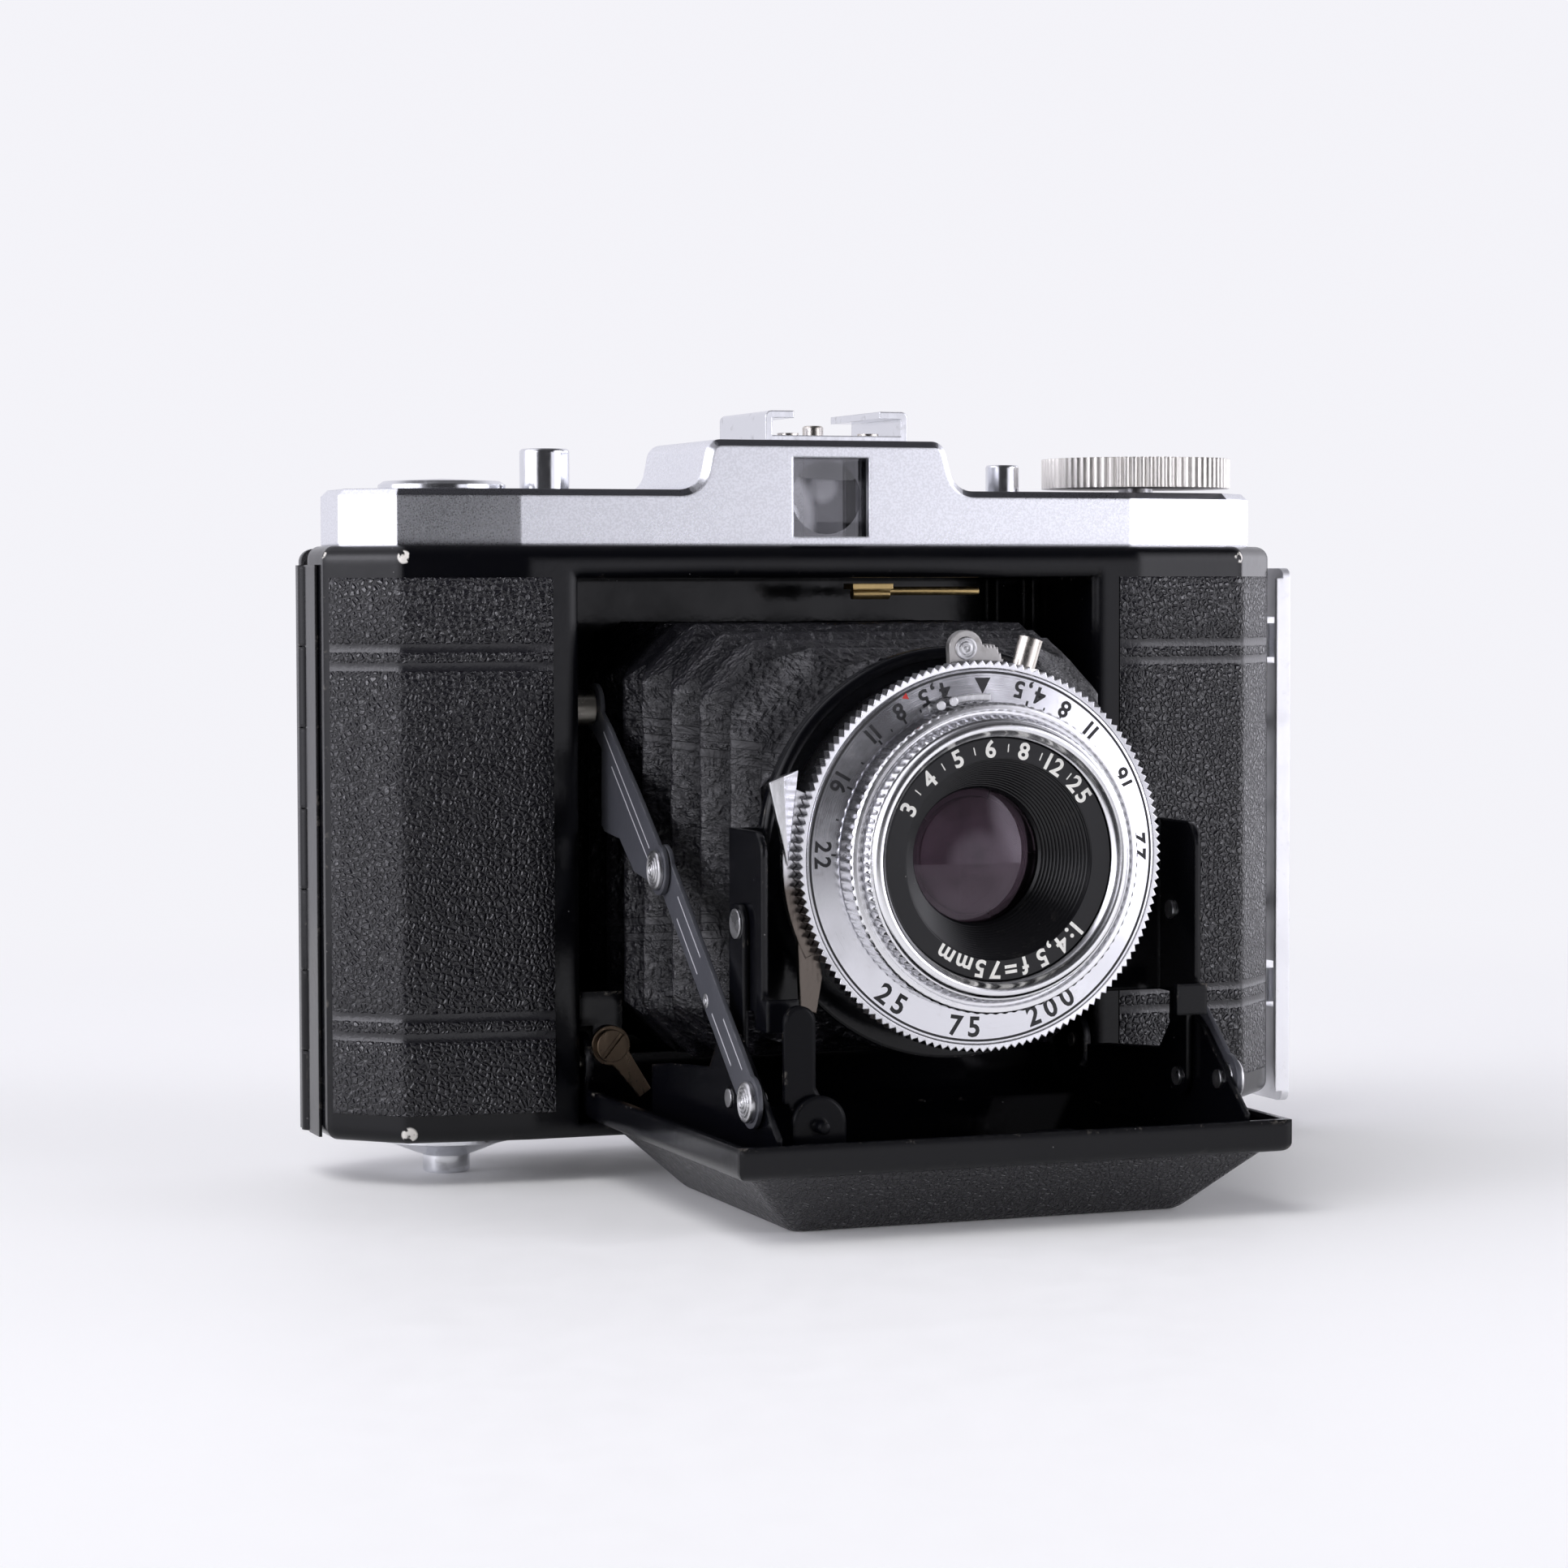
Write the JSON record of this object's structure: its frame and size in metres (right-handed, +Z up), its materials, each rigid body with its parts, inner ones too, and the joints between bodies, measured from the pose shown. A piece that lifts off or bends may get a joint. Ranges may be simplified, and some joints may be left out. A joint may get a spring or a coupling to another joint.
{
  "type": "folding roll-film camera",
  "caption": "Self-erecting folding roll-film camera with drop door, lens standard on folding struts, bellows, iris shutter, finder, winding knob and hinged back.",
  "frame": {"origin": "centre of the tripod socket's mouth, in the underside of the body", "axes": "+X towards the winding knob end, +Y from the lens to the film, +Z up; the lens looks along -Y"},
  "size_m": [0.1471, 0.0969, 0.1047],
  "materials": {
    "satin_chrome": "satin",
    "bright_chrome": "polished",
    "nickel": "satin",
    "black_cast": "gloss",
    "black_enamel": "gloss",
    "strut_grey": "satin",
    "body_leather": "grained",
    "bellows_leather": "pleated",
    "face_metal": "satin",
    "lens_black": "satin",
    "brass": "worn",
    "steel": "satin",
    "glass": "coated",
    "blade_steel": "satin",
    "red_plastic": "clear",
    "spool_black": "satin"
  },
  "bodies": {
    "camera_body": {"body_casting": "black_cast", "front_leather": "body_leather", "film_gate_frame": "black_enamel", "bellows": "bellows_leather", "top_housing": "satin_chrome", "viewfinder_barrel": "black_enamel", "finder_lenses": "glass", "accessory_shoe": "bright_chrome", "shoe_fasteners": "nickel", "tripod_bush": "steel", "folding_pivot_pins": "steel", "transfer_screw": "nickel", "hinge_leaf_body": "black_enamel", "latch_keepers": "bright_chrome"},
    "roller_left": {"film_roller_left": "nickel"},
    "roller_right": {"film_roller_right": "nickel"},
    "winding": {"winding_knob": "nickel", "winding_shaft": "steel", "take_up_spool": "spool_black"},
    "reminder_disc": {"film_reminder_disc": "bright_chrome"},
    "supply_pin": {"spool_pin_supply": "bright_chrome"},
    "takeup_pin": {"spool_pin_takeup": "bright_chrome"},
    "release": {"release_button": "bright_chrome"},
    "opener": {"door_release_button": "bright_chrome"},
    "catch": {"door_catch": "brass"},
    "door": {"door": "black_enamel", "door_leather": "body_leather", "door_gussets": "black_enamel", "release_ear": "black_enamel"},
    "arms": {"standard_arms": "black_enamel", "arm_rivets": "steel"},
    "standard": {"lens_standard": "black_enamel", "shutter_case": "face_metal", "face_plate": "face_metal", "shutter_and_iris_blades": "blade_steel", "rear_lens_cell": "lens_black", "rear_lens_glasses": "glass", "cable_release_post": "nickel"},
    "lower_strut_pair": {"lower_struts": "strut_grey", "lower_strut_rivets": "steel"},
    "upper_strut_pair": {"upper_struts": "strut_grey", "knee_rivets": "steel"},
    "speed_setting": {"speed_ring": "face_metal", "speed_ring_tab": "nickel"},
    "shutter_lever": {"shutter_release_lever": "nickel"},
    "aperture_setting": {"aperture_pointer": "nickel"},
    "focus": {"focus_ring": "face_metal", "lens_name_ring": "lens_black", "front_lens_glass": "glass"},
    "door_lever": {"upright_lever": "black_enamel"},
    "hinge_lever": {"transfer_lever": "nickel"},
    "back": {"back_cover": "black_cast", "back_leather": "body_leather", "back_fittings": "bright_chrome", "red_window": "red_plastic", "pressure_plate": "black_enamel", "pressure_springs": "steel", "hinge_leaf_back": "black_enamel"},
    "latch": {"back_latch": "bright_chrome"},
    "window_cover": {"window_slide": "bright_chrome"}
  },
  "joints": [
    {"name": "roller_left_spin", "type": "hinge", "parent": "camera_body", "child": "roller_left", "pos_m": [-0.0362, 0.0089, 0.04025], "axis": [0, 0, 1], "continuous": true},
    {"name": "roller_right_spin", "type": "hinge", "parent": "camera_body", "child": "roller_right", "pos_m": [0.0362, 0.0089, 0.04025], "axis": [0, 0, 1], "continuous": true},
    {"name": "wind_film", "type": "hinge", "parent": "camera_body", "child": "winding", "pos_m": [0.0524, 0, 0.08], "axis": [0, 0, 1], "continuous": true},
    {"name": "reminder_turn", "type": "hinge", "parent": "camera_body", "child": "reminder_disc", "pos_m": [-0.0524, 0, 0.085], "axis": [0, 0, 1], "continuous": true},
    {"name": "supply_pin_pull", "type": "slide", "parent": "camera_body", "child": "supply_pin", "axis": [0, 0, -1], "range_m": [0, 0.005]},
    {"name": "takeup_pin_pull", "type": "slide", "parent": "camera_body", "child": "takeup_pin", "axis": [0, 0, -1], "range_m": [0, 0.005]},
    {"name": "release_press", "type": "slide", "parent": "camera_body", "child": "release", "axis": [0, 0, -1], "range_m": [0, 0.0025], "stiffness_N_per_m": 500, "springref_m": -0.002},
    {"name": "opener_press", "type": "slide", "parent": "camera_body", "child": "opener", "axis": [0, 0, -1], "range_m": [0, 0.002], "stiffness_N_per_m": 500, "springref_m": -0.002},
    {"name": "catch_draw", "type": "slide", "parent": "camera_body", "child": "catch", "axis": [1, 0, 0], "range_m": [0, 0.0015]},
    {"name": "door_fold", "type": "hinge", "parent": "camera_body", "child": "door", "pos_m": [0, -0.01295, 0.00995], "axis": [-1, 0, 0], "range_deg": [0, 90], "deforming": ["bellows"]},
    {"name": "arm_fold", "type": "hinge", "parent": "door", "child": "arms", "pos_m": [0, -0.0596, 0.0103], "axis": [-1, 0, 0], "range_deg": [0, 90]},
    {"name": "standard_fold", "type": "hinge", "parent": "arms", "child": "standard", "pos_m": [0, -0.0596, 0.03225], "axis": [-1, 0, 0], "range_deg": [-180, 0]},
    {"name": "lower_strut_fold", "type": "hinge", "parent": "door", "child": "lower_strut_pair", "pos_m": [0, -0.0696, 0.011], "axis": [-1, 0, 0], "range_deg": [0, 41]},
    {"name": "upper_strut_fold", "type": "hinge", "parent": "camera_body", "child": "upper_strut_pair", "pos_m": [0, -0.0096, 0.0581], "axis": [-1, 0, 0], "range_deg": [-47, 0]},
    {"name": "speed_turn", "type": "hinge", "parent": "standard", "child": "speed_setting", "pos_m": [0, -0.0646, 0.04025], "axis": [0, -1, 0], "range_deg": [0, 45]},
    {"name": "shutter_trip", "type": "hinge", "parent": "standard", "child": "shutter_lever", "pos_m": [0, -0.0628, 0.04025], "axis": [0, -1, 0], "range_deg": [0, 8]},
    {"name": "aperture_turn", "type": "hinge", "parent": "standard", "child": "aperture_setting", "pos_m": [0, -0.0658, 0.04025], "axis": [0, -1, 0], "range_deg": [0, 95]},
    {"name": "focus_turn", "type": "hinge", "parent": "standard", "child": "focus", "pos_m": [0, -0.068, 0.04025], "axis": [0, -1, 0], "range_deg": [0, 270]},
    {"name": "door_lever_rock", "type": "hinge", "parent": "door", "child": "door_lever", "pos_m": [-0.0254, -0.0724, 0.00815], "axis": [0, 1, 0], "range_deg": [0, 8]},
    {"name": "hinge_lever_rock", "type": "hinge", "parent": "camera_body", "child": "hinge_lever", "pos_m": [-0.0337, -0.0159, 0.0124], "axis": [0, -1, 0], "range_deg": [0, 10]},
    {"name": "back_open", "type": "hinge", "parent": "camera_body", "child": "back", "pos_m": [-0.0703, 0.00415, 0.04], "axis": [0, 0, 1], "range_deg": [0, 115]},
    {"name": "latch_lift", "type": "slide", "parent": "back", "child": "latch", "axis": [0, 0, 1], "range_m": [0, 0.005]},
    {"name": "window_open", "type": "slide", "parent": "back", "child": "window_cover", "axis": [0, 0, 1], "range_m": [0, 0.009]}
  ],
  "couplings": [
    {"joint": "arm_fold", "follows": "door_fold", "ratio": 1},
    {"joint": "standard_fold", "follows": "door_fold", "ratio": -2},
    {"joint": "lower_strut_fold", "follows": "door_fold", "ratio": 0.4522},
    {"joint": "upper_strut_fold", "follows": "door_fold", "ratio": -0.52},
    {"joint": "catch_draw", "follows": "opener_press", "ratio": 0.75},
    {"joint": "shutter_trip", "follows": "release_press", "rad_per_m": 55.8},
    {"joint": "door_lever_rock", "follows": "release_press", "rad_per_m": 55.8},
    {"joint": "hinge_lever_rock", "follows": "release_press", "rad_per_m": 69.7}
  ]
}
